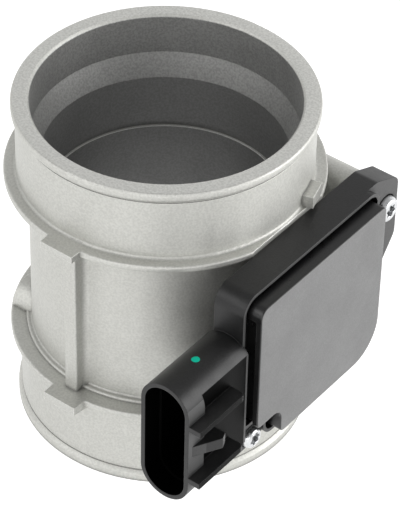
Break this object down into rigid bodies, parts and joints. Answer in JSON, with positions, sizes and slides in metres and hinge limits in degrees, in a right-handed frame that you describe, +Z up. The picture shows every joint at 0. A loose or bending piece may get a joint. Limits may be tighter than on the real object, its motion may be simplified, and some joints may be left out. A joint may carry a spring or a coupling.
{
  "type": "mass airflow sensor",
  "caption": "Cast tubular housing with beaded hose spigots and flanges, carrying a black electronics module with a cover and a side connector; it measures air drawn in by an engine.",
  "frame": {"origin": "centre of the tube's lower end face, which is the outlet spigot's end", "axes": "+Z up the tube towards the inlet spigot, +X out through the electronics module, -Y the way the connector opens"},
  "size_m": [0.11, 0.1098, 0.1121],
  "materials": {
    "cast_aluminium": "sand-textured casting, turned end beads",
    "black_plastic": "glass-filled moulding, satin",
    "cover_plastic": "satin",
    "rubber": "matt",
    "plate_aluminium": "rolled",
    "board": "solder mask",
    "chip_black": "matt",
    "ceramic": "fired ceramic",
    "tinned_brass": "tinned",
    "zinc_steel": "bright zinc"
  },
  "bodies": {
    "root": {"flow_body": "cast_aluminium", "module_case": "black_plastic", "module_cover": "cover_plastic", "cover_seal": "rubber", "spigot_seal": "rubber", "heat_plate": "plate_aluminium", "circuit_board": "board", "control_chip": "chip_black", "power_transistor": "chip_black", "chip_capacitors": "ceramic", "sensor_probe": "black_plastic", "hot_film_element": "ceramic", "compensation_element": "ceramic", "air_temperature_sensor": "ceramic", "module_screws": "zinc_steel", "terminal_1": "tinned_brass", "terminal_2": "tinned_brass", "terminal_3": "tinned_brass", "terminal_4": "tinned_brass", "terminal_5": "tinned_brass"}
  },
  "joints": []
}
